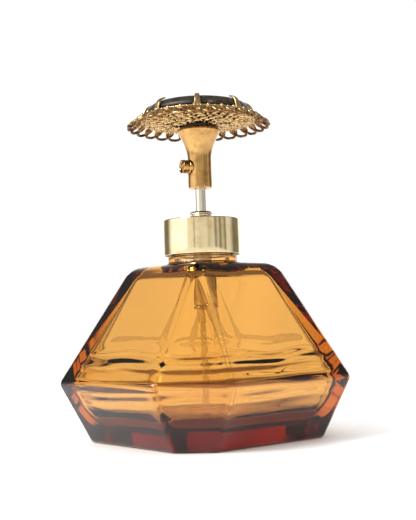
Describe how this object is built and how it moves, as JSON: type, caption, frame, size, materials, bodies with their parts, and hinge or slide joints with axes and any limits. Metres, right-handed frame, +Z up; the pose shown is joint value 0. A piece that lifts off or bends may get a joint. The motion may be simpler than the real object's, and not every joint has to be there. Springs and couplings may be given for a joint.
{
  "type": "perfume atomiser",
  "caption": "Faceted amber glass perfume bottle with a screw-on brass finger pump: push-down trumpet with a side nozzle under a round gilt filigree ornament and a black stone.",
  "frame": {"origin": "centre of the bottle's flat base", "axes": "+Z up along the bottle, neck and pump axis; -Y towards the front cut corner of the bottle, +X to the right"},
  "size_m": [0.0962, 0.0962, 0.1163],
  "materials": {
    "amber_glass": "polished moulded glass, amber tinted",
    "brass": "polished, faintly brushed",
    "gilt_filigree": "antique gilt with darker recesses",
    "steel": "polished steel",
    "nickel_plate": "nickel plated",
    "spring_steel": "drawn wire",
    "black_plastic": "satin",
    "black_rubber": "matt",
    "clear_plastic": "translucent, natural",
    "black_stone": "polished, opaque black-brown"
  },
  "bodies": {
    "bottle": {"glass_bottle": "amber_glass"},
    "seal": {"neck_gasket": "black_rubber"},
    "pump": {"pump_cylinder": "nickel_plate", "foot_valve": "nickel_plate", "dip_tube": "clear_plastic", "ball_retainer": "nickel_plate", "return_spring": "spring_steel", "stem_seal": "black_rubber", "stem_guide": "nickel_plate"},
    "collar": {"collar_shell": "brass", "collar_liner": "black_plastic", "stem_ferrule": "steel", "thrust_washer": "clear_plastic"},
    "spring_seat": {"spring_seat": "nickel_plate"},
    "plunger": {"plunger_stem": "steel", "piston": "nickel_plate", "piston_seal": "black_rubber", "outlet_spring": "spring_steel", "actuator_trumpet": "brass", "nozzle_barrel": "brass", "swirl_core": "nickel_plate", "nozzle_jet": "brass", "top_washer": "black_plastic", "filigree_plate": "gilt_filigree", "scalloped_border": "gilt_filigree", "stone_setting": "gilt_filigree", "setting_rivet": "brass", "stone_cabochon": "black_stone"},
    "inlet_ball": {"inlet_ball": "steel"},
    "outlet_ball": {"outlet_ball": "steel"}
  },
  "joints": [
    {"name": "head_lift", "type": "slide", "parent": "bottle", "child": "seal", "axis": [0, 0, 1], "range_m": [0, 0.068]},
    {"name": "thread_rise", "type": "slide", "parent": "seal", "child": "pump", "axis": [0, 0, 1], "range_m": [0, 0.0026]},
    {"name": "collar_turn", "type": "hinge", "parent": "pump", "child": "collar", "pos_m": [0, 0, 0.068], "axis": [0, 0, 1], "range_deg": [0, 300]},
    {"name": "plunger_press", "type": "slide", "parent": "pump", "child": "spring_seat", "axis": [0, 0, -1], "range_m": [0, 0.0065], "stiffness_N_per_m": 700, "springref_m": -0.005, "deforming": ["return_spring"]},
    {"name": "nozzle_aim", "type": "hinge", "parent": "spring_seat", "child": "plunger", "pos_m": [0, 0, 0.0857], "axis": [0, 0, 1], "continuous": true},
    {"name": "inlet_ball_lift", "type": "slide", "parent": "pump", "child": "inlet_ball", "axis": [0, 0, 1], "range_m": [0, 0.0006]},
    {"name": "outlet_ball_lift", "type": "slide", "parent": "plunger", "child": "outlet_ball", "axis": [0, 0, 1], "range_m": [0, 0.0005], "stiffness_N_per_m": 60, "springref_m": -0.0015, "deforming": ["outlet_spring"]}
  ],
  "couplings": [
    {"joint": "thread_rise", "follows": "collar_turn", "m_per_rad": 0.00047746}
  ]
}
